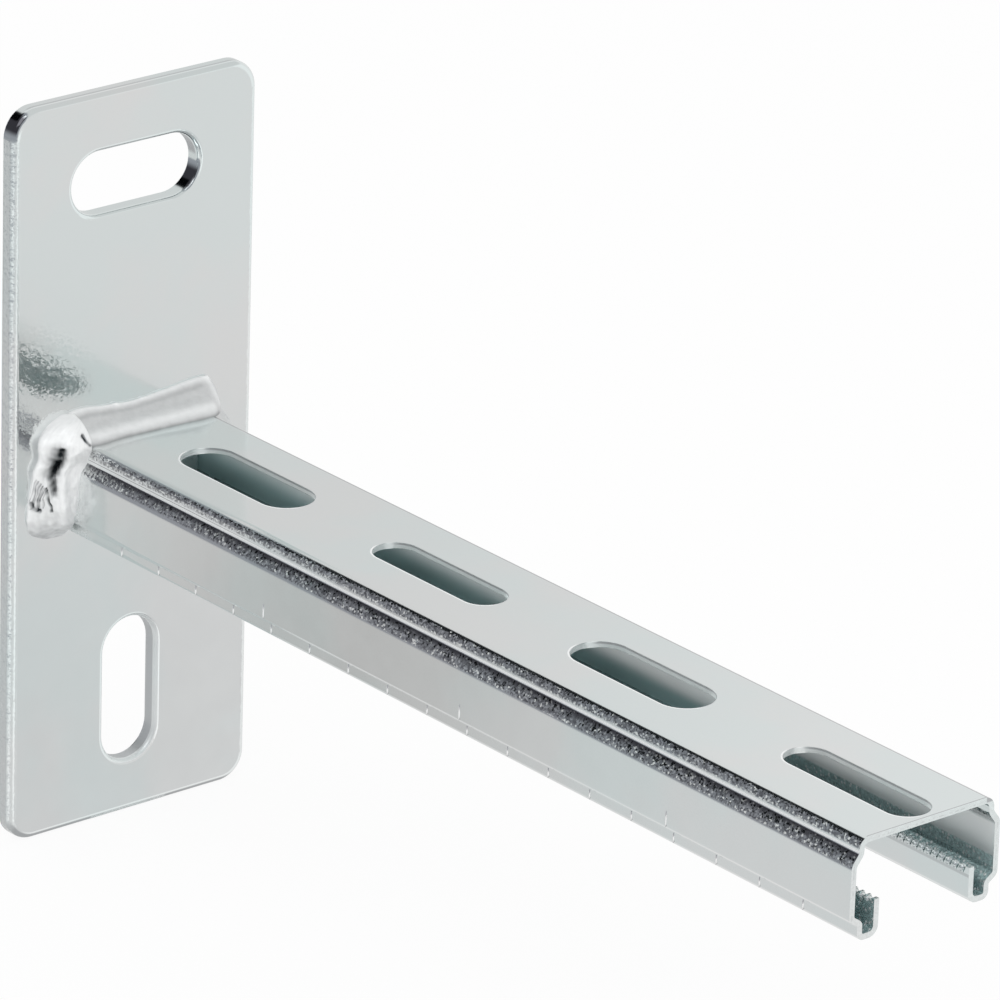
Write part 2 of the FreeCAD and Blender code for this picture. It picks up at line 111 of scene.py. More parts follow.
class Nodes:
    """A node tree under construction, with a short method for each kind of node that it needs."""

    def __init__(self, tree: bpy.types.NodeTree) -> None:
        """Take over a tree."""
        self.tree = tree

    def feed(self, socket: Socket, value: Optional[Feed]) -> None:
        """Link an input to an output, or set its number or colour.

        Args:
            socket: The input.
            value: What it gets, or nothing to leave it alone.
        """
        if isinstance(value, Socket):
            self.tree.links.new(value, socket)
        elif isinstance(value, tuple) and len(socket.default_value) > len(value):
            socket.default_value = (*value, 1.0)
        elif value is not None:
            socket.default_value = value

    def node(self, kind: str, feeds: dict[Union[int, str], Optional[Feed]],
             **settings: str) -> bpy.types.Node:
        """Add a node.

        Args:
            kind: The last part of its type's name.
            feeds: What its inputs get, by their numbers or names.
            **settings: Its own settings, such as the operation that it carries out.

        Returns:
            The node.
        """
        node = self.tree.nodes.new(f"ShaderNode{kind}")
        for name, setting in settings.items():
            setattr(node, name, setting)
        for key, value in feeds.items():
            self.feed(node.inputs[key], value)
        return node

    def maths(self, operation: str, first: Feed, second: Feed = 0.0) -> Socket:
        """Work out one number from one or two."""
        return self.node("Math", {0: first, 1: second}, operation=operation).outputs[0]

    def minus(self, first: Feed, second: Feed) -> Socket:
        """Take one number from another."""
        return self.maths("SUBTRACT", first, second)

    def size(self, value: Feed) -> Socket:
        """Drop a number's sign."""
        return self.maths("ABSOLUTE", value)

    def all_of(self, *masks: Feed) -> Feed:
        """Return the product of several masks.

        Args:
            *masks: The masks. Those that are plain numbers are multiplied here.

        Returns:
            The product, a plain number where no node is needed.
        """
        number = math.prod(mask for mask in masks if isinstance(mask, float))
        found = [mask for mask in masks if not isinstance(mask, float)]
        if not found or number == 0:
            return float(number)
        return reduce(partial(self.maths, "MULTIPLY"), found if number == 1 else [*found, number])

    def any_of(self, *masks: Feed) -> Feed:
        """Return the largest of several masks, leaving out those that are plainly 0."""
        found = [mask for mask in masks if not isinstance(mask, float) or mask > 0]
        return reduce(partial(self.maths, "MAXIMUM"), found) if found else 0.0

    def step(self, value: Feed, low: Feed, high: Feed) -> Socket:
        """Rise smoothly from 0 where value is low to 1 where it is high."""
        feeds = {"Value": value, "From Min": low, "From Max": high}
        return self.node("MapRange", feeds, interpolation_type="SMOOTHSTEP").outputs["Result"]

    def within(self, value: Feed, low: float, high: float, soft: float) -> Feed:
        """Return 1 where value lies between low and high, with soft ends."""
        rise = self.step(value, low - soft, low + soft)
        return self.all_of(rise, self.step(value, high + soft, high - soft))

    def span(self, value: Feed, low: Feed, high: Feed) -> Feed:
        """Map 0 to 1 on to low to high."""
        feeds = {"Value": value, "To Min": low, "To Max": high}
        return low if value == 0.0 else self.node("MapRange", feeds).outputs["Result"]

    def mix(self, share: Feed, first: Feed, second: Feed) -> Feed:
        """Blend two colours.

        Args:
            share: How much of the second shows.
            first: The first colour.
            second: The second colour.

        Returns:
            The blend.
        """
        if share == 0.0:
            return first
        node = self.node("Mix", {"Factor": share}, data_type="RGBA")
        for socket, colour in zip((item for item in node.inputs if item.type == "RGBA"), (first, second)):
            self.feed(socket, colour)
        return next(item for item in node.outputs if item.type == "RGBA")

    def lay(self, colour: Feed, *layers: tuple[Feed, Feed]) -> Feed:
        """Lay tones over a colour, one after the other.

        Args:
            colour: The lowest.
            *layers: The mask and the tone of each layer.

        Returns:
            The colour that shows.
        """
        for mask, tone in layers:
            colour = self.mix(mask, colour, tone)
        return colour

    def axes(self, vector: Feed) -> tuple[Socket, ...]:
        """Return the X, Y and Z of a vector."""
        return tuple(self.node("SeparateXYZ", {0: vector}).outputs)

    def vectors(self, operation: str, first: Feed, second: Optional[Feed] = None,
                result: str = "Vector") -> Socket:
        """Work out one vector, or one number, from one or two vectors."""
        return self.node("VectorMath", {0: first, 1: second}, operation=operation).outputs[result]

    def scaled(self, vector: Feed, factor: Feed) -> Socket:
        """Make a vector longer or shorter."""
        feeds = {0: vector, "Scale": factor}
        return self.node("VectorMath", feeds, operation="SCALE").outputs["Vector"]

    def dot(self, vector: Feed, way: Triple) -> Socket:
        """Return how far a vector reaches along a direction."""
        return self.vectors("DOT_PRODUCT", vector, way, "Value")


class Recipe(Nodes):
    """A material under construction. Its textures lie in the object's own place."""

    def __init__(self, name: str) -> None:
        """Start an empty material of a given name."""
        self.material = bpy.data.materials.new(name)
        self.material.use_nodes = True
        super().__init__(self.material.node_tree)
        self.tree.nodes.clear()
        self.output = self.node("OutputMaterial", {})
        self.place = self.node("TexCoord", {}).outputs["Object"]

    def noise(self, kind: Noise) -> Socket:
        """Even noise from 0 to 1."""
        feeds = {"Vector": self.place, "Scale": 1 / kind.size, "Detail": kind.layers, "Roughness": kind.rough}
        return self.node("TexNoise", feeds).outputs["Fac"]

    def bump(self, height: Feed, distance: float, under: Optional[Feed] = None) -> Optional[Feed]:
        """Turn a height of 0 to 1, which stands up a distance, into a normal laid on another one."""
        feeds = {"Height": height, "Distance": distance, "Normal": under}
        return under if height == 0.0 else self.node("Bump", feeds).outputs["Normal"]

    def cells(self, size: float) -> bpy.types.Node:
        """Break a surface up into cells of a size."""
        return self.node("TexVoronoi", {"Vector": self.place, "Scale": 1 / size})

    def facets(self, grains: Feed, strength: Feed, under: Feed) -> Feed:
        """Lean the surface's normal its own way in each grain.

        Args:
            grains: Three numbers from 0 to 1 for each grain.
            strength: How far they lean, 0 for not at all.
            under: The normal that they lean away from.

        Returns:
            The normal.
        """
        if strength == 0.0:
            return under
        lean = self.scaled(self.vectors("SUBTRACT", grains, (0.5, 0.5, 0.5)), strength)
        return self.vectors("NORMALIZE", self.vectors("ADD", under, lean))

    def specks(self, size: float, spread: float, share: float) -> Feed:
        """Return small round spots, 1 inside and 0 outside.

        Args:
            size: The size of the cell that holds one spot.
            spread: The spot's radius as a share of its cell.
            share: The share of the cells that have one.

        Returns:
            The spots' mask.
        """
        cells = self.cells(size).outputs
        lucky = self.step(self.axes(cells["Color"])[0], share, share - 0.01)
        return self.all_of(self.step(cells["Distance"], spread * 1.3, spread * 0.7), lucky)

    def painted(self, name: str) -> Socket:
        """Return a number that the mesh carries at its points."""
        return self.node("Attribute", {}, attribute_name=name).outputs["Fac"]

    def surface(self, shader: Socket) -> bpy.types.Material:
        """Finish the material with its shader."""
        self.tree.links.new(shader, self.output.inputs["Surface"])
        return self.material

    def metal(self, colour: Feed, metallic: Feed, roughness: Feed, normal: Feed) -> bpy.types.Material:
        """Finish the material as metal, matt where metallic is below 1."""
        feeds = {"Metallic": metallic, "Base Color": colour, "Roughness": roughness, "Normal": normal}
        return self.surface(self.node("BsdfPrincipled", feeds).outputs["BSDF"])

    def glow(self, colour: Feed) -> bpy.types.Material:
        """Finish the material as plain light, found only by the rays that meet it."""
        self.material.cycles.emission_sampling = "NONE"
        return self.surface(self.node("Emission", {"Color": colour}).outputs["Emission"])


@dataclass(frozen=True)
class Zones:
    """Where a surface differs from plain bright zinc. Each field runs from 0 to 1. Besides the zinc's own
    grain, ripples and matt or dull cut metal, the fields paint shade, dark reflections, glints and light into
    the colour.
    """

    grain: Feed = 0.0
    speckle: Feed = 0.0
    ripple: Feed = 0.0
    matt: Feed = 0.0
    dull_and_shade: Feed = 0.0
    black: Feed = 0.0
    deep: Feed = 0.0
    lit: Feed = 0.0
    blur: Feed = 0.0

    @classmethod
    def of(cls, recipe: Recipe, *patches: Patch) -> "Zones":
        """Lay patches beside and over each other. The strongest one shows.

        Args:
            recipe: The finish that they are part of.
            *patches: The mask of each, and how strong it is in each field that it changes.

        Returns:
            The zones.
        """
        fields = {}
        for mask, strengths in patches:
            for name, strength in strengths.items():
                fields[name] = recipe.any_of(fields.get(name, 0.0), recipe.all_of(mask, strength))
        return cls(**fields)


@dataclass(frozen=True)
class Zinc:
    """Bright zinc plate: smooth metal with faint clouds, and a coarse sparkle where it was worked."""

    name: str
    cool: Colour = (0.805, 0.872, 0.868)
    warm: Colour = (0.838, 0.862, 0.858)
    # painted tones: grey for dull cut metal and painted shade, black for painted shade and dark reflections,
    # dark teal for the hollow's painted shade, near white for painted light and glints
    dull_and_shade_colour: Colour = (0.50, 0.52, 0.53)
    painted_shade_black: Colour = (0.10, 0.10, 0.11)
    hollow_shade_colour: Colour = (0.49, 0.66, 0.665)
    lit_colour: Colour = (0.96, 0.975, 0.975)
    cloud: Noise = Noise(30 * MM, 3.0, 0.55)
    cloud_span: Pair = (0.38, 0.62)
    roughness: float = 0.13
    smear: Noise = Noise(7 * MM)
    smear_span: Pair = (-0.03, 0.04)
    matt_roughness: float = 0.45
    matt_metallic: float = 0.45
    hollow_shade_metallic: float = 0.55
    swell: Noise = Noise(9 * MM, 2.0, 0.45)
    swell_depth: float = 0.012 * MM
    ripple: Noise = Noise(1.1 * MM, 2.0, 0.55)
    ripple_depth: float = 0.14 * MM
    grain: float = 0.33 * MM
    grain_lean: float = 0.5

    def zones(self, recipe: Recipe) -> Zones:
        """Return where the surface differs."""
        return Zones()

    def material(self) -> bpy.types.Material:
        """Build the finish and return its material."""
        recipe = Recipe(self.name)
        zones = self.zones(recipe)
        grains = recipe.cells(self.grain).outputs["Color"]
        clouds = recipe.step(recipe.noise(self.cloud), *self.cloud_span)
        # the layers paint shade, dark reflections and light over the zinc's own clouds; the speckle darkens
        # grains one by one as a painted dark reflection
        colour = recipe.lay(
            recipe.mix(clouds, self.cool, self.warm),
            (zones.dull_and_shade, self.dull_and_shade_colour),
            (zones.black, self.painted_shade_black),
            (zones.deep, self.hollow_shade_colour),
            (recipe.all_of(zones.speckle, recipe.axes(grains)[0]), self.painted_shade_black),
            (zones.lit, self.lit_colour),
        )
        matt = recipe.any_of(zones.matt, zones.lit)
        smear = recipe.span(recipe.noise(self.smear), *(self.roughness + part for part in self.smear_span))
        roughness = recipe.span(recipe.any_of(matt, zones.blur), smear, self.matt_roughness)
        metallic = recipe.all_of(
            recipe.span(matt, 1.0, self.matt_metallic), recipe.span(zones.deep, 1.0, self.hollow_shade_metallic)
        )
        normal = recipe.bump(recipe.noise(self.swell), self.swell_depth)
        waves = recipe.all_of(recipe.noise(self.ripple), zones.ripple)
        normal = recipe.bump(waves, self.ripple_depth, normal)
        normal = recipe.facets(grains, recipe.all_of(zones.grain, self.grain_lean), normal)
        return recipe.metal(colour, metallic, roughness, normal)


class Surface:
    """The measures of a surface's points, in millimetres, that the masks of its finish go by."""

    def __init__(self, recipe: Recipe) -> None:
        """Measure a point's place, and its distance across from the middle plane."""
        self.recipe = recipe
        self.found: dict[tuple[str, Band], Feed] = {}
        self.place = recipe.scaled(recipe.place, 1 / MM)
        self.along, self.side, self.level = recipe.axes(self.place)
        self.across = recipe.size(self.side)

    def where(self, **bands: Band) -> Feed:
        """Return 1 where the named measures lie in their bands.

        Args:
            **bands: Where the mask is 0 and where it is 1, or its low end, its high end and their softness.

        Returns:
            The mask.
        """
        for name, band in bands.items():
            if (name, band) not in self.found:
                make = self.recipe.step if len(band) == 2 else self.recipe.within
                self.found[name, band] = make(getattr(self, name), *band)
        return self.recipe.all_of(*(self.found[key] for key in bands.items()))


def inset(size: float, band: Band) -> Band:
    """Count a band inwards from a size."""
    return tuple(size - part for part in band)


@dataclass(frozen=True)
class DarkReflection:
    """A painted dark reflection on the arc of a rounded edge: its centre's Y and Z, 1 for facing right and
    down, and its radius.
    """

    centre: Pair
    way: float
    radius: float


@dataclass(frozen=True)
class PlateZinc(Zinc):
    """The plate's finish: rough sheared sides, matt slot walls with painted shade, painted dark reflections
    on two rounded edges, painted light inside the rail, and heat ripples beside the weld.

    Its sizes and bands are millimetres.
    """

    half_width: float = 25.0
    half_height: float = 65.0
    off_back: Band = (0.05, 0.15)
    off_front: Band = (2.97, 2.9)
    in_front: Band = (2.2, 2.8)
    behind: Band = (2.1, 1.9)
    roll: Band = (1.4, 0.7)
    side_skin: Band = (0.1, 0.05)
    corner: Band = (4.4, 5.28)
    lower_slot: Band = (-27.0, -28.0)
    lower_rim: Band = (8.1, 7.6)
    lower_wall: Band = (7.6, 6.6)
    upper_slot: Band = (50.3, 60.0, 0.5)
    upper_wall: Band = (8.0, 20.0, 0.5)
    top_line: Band = (0.4, 0.1)
    top_line_span: Band = (1.3, 1.75, 0.15)
    heat_spot: Triple = (3.0, -21.0, 14.0)
    heat_reach: float = 17.0
    heat_ripple: float = 0.3
    dark_reflections: tuple[DarkReflection, ...] = (DarkReflection((-20.0, 60.0), -1.0, 5.3), DarkReflection((7.5, 49.5), 1.0, 6.6))
    reflection_turn: Pair = (16.0, 58.0)
    reflection_soft: float = 0.12
    reflection_edge: float = 0.3
    reflection_depth: Band = (2.75, 2.65)
    inside: Band = (14.0, 13.5)
    inside_span: Band = (-10.5, 5.0, 0.5)

    def dark_reflection(self, at: Surface, arc: DarkReflection) -> Feed:
        """Return one painted dark reflection.

        Args:
            at: The measures that it goes by.
            arc: The arc.

        Returns:
            1 on the arc and 0 elsewhere.
        """
        recipe = at.recipe
        aside = recipe.all_of(recipe.minus(at.side, arc.centre[0]), arc.way)
        above = recipe.all_of(recipe.minus(at.level, arc.centre[1]), -arc.way)
        turn = recipe.maths("ARCTAN2", above, aside)
        square = recipe.maths("ADD", recipe.all_of(aside, aside), recipe.all_of(above, above))
        return recipe.all_of(
            recipe.within(turn, *map(math.radians, self.reflection_turn), self.reflection_soft),
            recipe.step(square, (arc.radius + self.reflection_edge) ** 2, arc.radius ** 2),
        )

    def zones(self, recipe: Recipe) -> Zones:
        """Return the sheared sides, the slot walls with their painted shade, the heated patch, the darker
        line along the top edge, the painted dark reflections and the painted light on the face inside the
        rail.

        Args:
            recipe: The finish that they are part of.

        Returns:
            The zones.
        """
        at = Surface(recipe)
        off_back = at.where(along=self.off_back)
        behind = at.where(along=self.behind)
        wall = recipe.all_of(behind, off_back)
        sides = recipe.all_of(
            recipe.any_of(off_back, at.where(across=inset(self.half_width, self.side_skin))),
            at.where(across=inset(self.half_width, self.roll), level=inset(self.half_height, self.corner)),
        )
        lower_rim = at.where(level=self.lower_slot, across=self.lower_rim, along=self.off_front)
        lower_wall = recipe.all_of(at.where(level=self.lower_slot, across=self.lower_wall), wall)
        upper_wall = recipe.all_of(at.where(level=self.upper_slot, across=self.upper_wall), wall)
        dark_reflections = recipe.any_of(*(self.dark_reflection(at, arc) for arc in self.dark_reflections))
        top_line = at.where(level=inset(self.half_height, self.top_line), along=self.top_line_span)
        distance = recipe.vectors("DISTANCE", at.place, self.heat_spot, "Value")
        heat = recipe.step(distance, self.heat_reach, self.heat_reach / 3)
        return Zones.of(
            recipe,
            (sides, dict(grain=0.2, ripple=0.8, matt=0.35)),
            (recipe.all_of(sides, behind), dict(dull_and_shade=0.5)),
            (recipe.all_of(heat, at.where(along=self.in_front)), dict(grain=0.06, ripple=self.heat_ripple)),
            (recipe.all_of(lower_rim, off_back), dict(matt=0.9)),
            # painted shade in the two slots' walls, and a darker line along the top edge
            (lower_wall, dict(dull_and_shade=0.85)),
            (upper_wall, dict(dull_and_shade=1.0, matt=0.5)),
            (top_line, dict(dull_and_shade=0.6)),
            # painted dark reflections on two rounded edges of the plate
            (recipe.all_of(dark_reflections, at.where(along=self.reflection_depth), off_back), dict(black=1.0)),
            # painted light on the plate's face inside the rail
            (at.where(level=self.inside_span, across=self.inside, along=self.in_front), dict(lit=0.5)),
        )


class RailSurface(Surface):
    """The rail's measures: its share of the reach, the gap to its cut end, the rise in its web, its slant."""

    def __init__(self, recipe: Recipe, length: float, web: float, slant: float) -> None:
        """Measure the rail.

        Args:
            recipe: The finish that goes by the measures.
            length: The rail's free end along X.
            web: The height of the web's underside.
            slant: How much the shoulder's outer slant leans in for each step up.
        """
        super().__init__(recipe)
        self.reach = recipe.all_of(self.along, 1 / length)
        self.to_end = recipe.minus(length, self.along)
        self.rise = recipe.minus(self.level, web)
        self.slant = recipe.maths("ADD", self.across, recipe.all_of(self.level, slant))


@dataclass(frozen=True)
class RailZinc(Zinc):
    """The rail's finish: sparkling cold-rolled bends with painted dark reflections, matt punched edges, and a
    grainy hollow with painted shade, painted light and painted glints.

    Its sizes and bands are millimetres.
    """

    free_end: float = 200.0
    off_end: Band = (0.02, 0.08)
    edge: Band = (12.5, 12.7)
    bend_top: Band = (4.4, 5.55, 0.2)
    bend_foot: Band = (3.45, 3.25)
    bend_ends: Pair = (1.8, 1.45)
    bend_soft: float = 0.2
    bend_reach: Band = (0.1, 0.5)
    bend_grain: Pair = (0.8, 1.15)
    bend_speckle: float = 0.85
    pale: Band = (3.5, 4.95, 0.1)
    pale_end: Band = (91.0, 35.0)
    neck: Band = (13.2, 13.4)
    line: Band = (2.2, 3.4)
    line_top: Band = (3.51, 3.39)
    crease: Band = (4.0, 4.1, 0.05)
    crease_end: Band = (70.0, 35.0)
    crease_share: float = 0.8
    bright: Band = (3.55, 4.0, 0.06)
    bright_start: Band = (30.0, 60.0)
    splash: Noise = Noise(2.2 * MM)
    splash_share: Pair = (0.42, 0.58)
    splash_end: Band = (13.0, 13 / 3)
    hollow_side: Band = (9.7, 14.3, 0.2)
    over_foot: Band = (-8.4, -8.0)
    beside_foot: Band = (12.9, 12.5)
    slant: float = 0.778
    inboard: Band = (15.8, 15.6)
    shade_line: Pair = (0.4, -4.2)
    shade_soft: Pair = (2.6, 0.2)
    shade_sharpens: Band = (0.3, 0.85)
    coarse: Band = (0.6, 0.95)
    glints: Triple = (0.7 * MM, 0.33, 0.6)
    inner_side: Band = (13.2, 14.3, 0.2)
    inner_span: Band = (-6.0, 3.0, 0.2)
    under_teeth: Band = (-6.55, -6.05, 0.15)
    lip_face: Band = (9.3, 9.2)
    web_underside: float = 5.0
    slot_first: float = 34.0
    slot_pitch: float = 50.0
    slot_half: float = 15.0
    slot_radii: Pair = (5.0, 4.0)
    slot_rim: Band = (0.36, 0.24)
    slot_near: Band = (0.0, -2.0)
    on_top: Band = (0.9, 0.98)
    punched_side: Band = (6.2, 6.0)
    punched: Band = (0.04, 0.95, 0.03)
    burr_side: Band = (1.5, 3.2)
    burr: Band = (0.55, 0.7)
    at_end: Band = (0.1, 0.05)
    torn: Noise = Noise(1.1 * MM)
    torn_share: Pair = (0.45, 0.6)
    torn_web: Band = (0.3, 0.5, 0.1)
    torn_wall: Band = (14.4, 14.6, 0.1)
    far_edge: Band = (11.95, 12.05)
    far_rise: Band = (0.0, 0.3)
    end_line: Band = (0.3, 0.2)

    def shoulders(self, at: RailSurface) -> list[Patch]:
        """Return the bends beside the web, with their painted dark grains, their painted black shade line and
        white highlight line, and the weld's splash.

        Args:
            at: The measures that they go by.

        Returns:
            Their patches.
        """
        recipe = at.recipe
        end = recipe.span(at.where(reach=self.bend_reach), *self.bend_ends)
        foot = recipe.all_of(
            recipe.step(recipe.minus(at.level, end), -self.bend_soft, self.bend_soft),
            at.where(level=self.bend_foot),
        )
        bends = recipe.all_of(
            at.where(across=self.edge, to_end=self.off_end),
            recipe.any_of(at.where(level=self.bend_top), foot),
        )
        # painted shade: a black line along the neck and along the crease
        line = recipe.all_of(at.where(level=self.line), at.where(level=self.line_top))
        crease = recipe.all_of(at.where(level=self.crease, along=self.crease_end), self.crease_share)
        neck = at.where(across=self.neck, to_end=self.off_end)
        splash = recipe.all_of(
            at.where(along=self.splash_end, across=self.edge),
            recipe.step(recipe.noise(self.splash), *self.splash_share),
        )
        clean = recipe.minus(1.0, splash)
        return [
            (recipe.all_of(bends, recipe.span(at.reach, *self.bend_grain)), dict(grain=1.0)),
            # the bends' grains darkened one by one: a painted dark reflection
            (recipe.all_of(bends, clean), dict(speckle=self.bend_speckle)),
            (at.where(across=self.edge, level=self.pale, along=self.pale_end), dict(matt=1.0)),
            (recipe.all_of(recipe.any_of(line, crease), neck, clean), dict(black=1.0)),
            # a painted white highlight line along the neck
            (recipe.all_of(at.where(level=self.bright, along=self.bright_start), neck), dict(lit=0.8)),
            (splash, dict(matt=0.8)),
        ]

    def hollow(self, at: RailSurface) -> list[Patch]:
        """Return the inside's painted shade with its painted glints, the painted light on the wall over it
        and the painted shadow under the teeth.

        Args:
            at: The measures that they go by.

        Returns:
            Their patches.
        """
        recipe = at.recipe
        # painted shade: the hollow is darkened below a line that drops as the rail reaches out
        line = recipe.span(recipe.maths("SQRT", at.reach), *self.shade_line)
        soft = recipe.span(at.where(reach=self.shade_sharpens), *self.shade_soft)
        shaded = recipe.maths("DIVIDE", recipe.minus(line, at.level), soft)
        floor = recipe.all_of(
            at.where(across=self.hollow_side, slant=self.inboard, to_end=self.off_end),
            recipe.any_of(at.where(level=self.over_foot), at.where(across=self.beside_foot)),
            recipe.step(shaded, -1.0, 1.0),
        )
        coarse = recipe.all_of(floor, at.where(reach=self.coarse))
        glints = recipe.all_of(coarse, recipe.specks(*self.glints))
        wall = at.where(
            across=self.inner_side, level=self.inner_span, slant=self.inboard, to_end=self.off_end
        )
        under_teeth = at.where(level=self.under_teeth, across=self.lip_face, to_end=self.off_end)
        return [
            # painted shade tinted teal, with grains darkened one by one, painted glints, painted light on the
            # wall above the shade line and a painted shadow under the teeth
            (coarse, dict(grain=1.0, speckle=0.5)),
            (recipe.all_of(floor, recipe.minus(1.0, glints)), dict(deep=1.0)),
            (glints, dict(lit=0.8)),
            (wall, dict(matt=0.4, blur=1.0)),
            (recipe.all_of(wall, recipe.step(shaded, 1.0, -1.0)), dict(lit=0.5)),
            (under_teeth, dict(dull_and_shade=0.6)),
        ]

    def rim_highlights(self, at: RailSurface) -> Feed:
        """Return the painted highlight on the near edges of the web's slots, which are wide and narrow in
        turn.

        Args:
            at: The measures that they go by.

        Returns:
            1 on the edges and 0 elsewhere.
        """
        recipe = at.recipe
        pitch = self.slot_pitch
        start = recipe.minus(at.along, self.slot_first - pitch / 2)
        narrow = recipe.maths("GREATER_THAN", recipe.maths("FLOORED_MODULO", start, 2 * pitch), pitch)
        radius = recipe.span(narrow, *self.slot_radii)
        ahead = recipe.size(recipe.minus(recipe.maths("FLOORED_MODULO", start, pitch), pitch / 2))
        ahead = recipe.maths("MAXIMUM", recipe.minus(ahead, recipe.minus(self.slot_half, radius)), 0.0)
        square = recipe.maths("ADD", recipe.all_of(ahead, ahead), recipe.all_of(at.side, at.side))
        rim = recipe.step(recipe.minus(recipe.maths("SQRT", square), radius), *self.slot_rim)
        return recipe.all_of(rim, at.where(side=self.slot_near, rise=self.on_top))

    def cuts(self, at: RailSurface) -> list[Patch]:
        """Return the punched edges, the torn middle of the cut end, the painted dark line along the web's far
        edge and cut end, and the painted highlight on the slots' near edges.

        Args:
            at: The measures that they go by.

        Returns:
            Their patches.
        """
        recipe = at.recipe
        punched = at.where(across=self.punched_side, rise=self.punched, to_end=self.off_end)
        burr = recipe.all_of(punched, at.where(side=self.burr_side, rise=self.burr))
        at_end = at.where(to_end=self.at_end)
        torn = recipe.all_of(
            at_end, recipe.step(recipe.noise(self.torn), *self.torn_share),
            recipe.any_of(at.where(rise=self.torn_web), at.where(across=self.torn_wall)),
        )
        on_top = at.where(to_end=self.off_end, rise=self.on_top)
        end_line = recipe.all_of(at.where(to_end=self.end_line), on_top)
        shade_outline = recipe.any_of(at.where(side=self.far_edge, rise=self.far_rise), end_line)
        return [
            (punched, dict(grain=0.3, matt=0.8)),
            (burr, dict(dull_and_shade=1.0)),
            (at_end, dict(grain=0.15, matt=0.35)),
            (torn, dict(dull_and_shade=0.45)),
            # a painted dark line along the web's far edge and cut end, and a painted highlight on the slots'
            # near edges
            (shade_outline, dict(dull_and_shade=1.0)),
            (self.rim_highlights(at), dict(lit=1.0)),
        ]

    def zones(self, recipe: Recipe) -> Zones:
        """Return the shoulders, the hollow and the cut edges."""
        at = RailSurface(recipe, self.free_end, self.web_underside, self.slant)
        return Zones.of(recipe, *self.shoulders(at), *self.hollow(at), *self.cuts(at))


@dataclass(frozen=True)
class BeadZinc:
    """A weld bead's finish: satin, with the painted light and shade that the bead's mesh carries."""

    name: str
    # the painted light and painted shade that the bead's shade blends between
    light: Colour = (0.95, 0.965, 0.965)
    dark: Colour = (0.035, 0.045, 0.05)
    metallic: Pair = (0.55, 0.12)
    metallic_shades: Pair = (0.6, 0.85)
    roughness: float = 0.42
    mottle: Noise = Noise(1.3 * MM)
    mottle_span: Pair = (-0.06, 0.06)
    pits: Noise = Noise(0.9 * MM)
    pit_depth: float = 0.07 * MM

    def material(self) -> bpy.types.Material:
        """Build the finish and return its material."""
        recipe = Recipe(self.name)
        mottle = recipe.span(recipe.noise(self.mottle), *self.mottle_span)
        shade = recipe.maths("ADD", recipe.painted(SHADE), mottle)
        metallic = recipe.span(recipe.step(shade, *self.metallic_shades), *self.metallic)
        normal = recipe.bump(recipe.noise(self.pits), self.pit_depth)
        return recipe.metal(recipe.mix(shade, self.dark, self.light), metallic, self.roughness, normal)


def make_object(name: str, mesh: bmesh.types.BMesh, material: bpy.types.Material) -> bpy.types.Object:
    """Turn a finished mesh into an object of the scene.

    Args:
        name: The object's name.
        mesh: Its geometry, already in place.
        material: Its finish.

    Returns:
        The new object.
    """
    data = bpy.data.meshes.new(name)
    mesh.to_mesh(data)
    mesh.free()
    data.materials.append(material)
    made = bpy.data.objects.new(name, data)
    bpy.context.scene.collection.objects.link(made)
    return made


def add_piece(name: str, mesh: bmesh.types.BMesh, material: bpy.types.Material) -> bpy.types.Object:
    """Make a smooth-shaded piece of a finished mesh, riding on the arm.

    Args:
        name: The piece's name.
        mesh: Its geometry, already in place.
        material: Its finish.

    Returns:
        The new object.
    """
    for face in mesh.faces:
        face.smooth = True
    piece = make_object(name, mesh, material)
    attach(piece, BODY)
    LOG.info("%s: %d faces", name, len(piece.data.polygons))
    return piece


def add_lump(mesh: bmesh.types.BMesh, half: Triple, middle: Triple, sides: int) -> None:
    """Add an egg-shaped lump to a mesh.

    Args:
        mesh: The mesh.
        half: The lump's half sizes along X, Y and Z.
        middle: Its centre.
        sides: How many faces it has round the upright axis.
    """
    lump = bmesh.ops.create_uvsphere(mesh, u_segments=sides, v_segments=LUMP_RINGS, radius=1.0)["verts"]
    bmesh.ops.scale(mesh, vec=half, verts=lump)
    bmesh.ops.translate(mesh, vec=middle, verts=lump)


@dataclass
class WallPlate:
    """The punched plate that bolts to the wall."""

    node: str = "base_plate"

    def dress(self) -> None:
        """Give the plate its zinc finish."""
        finish = PlateZinc("plate_zinc_finish", half_width=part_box(self.node)[1].y / MM)
        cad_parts[self.node].data.materials[0] = finish.material()
        LOG.info("%s dressed", self.node)


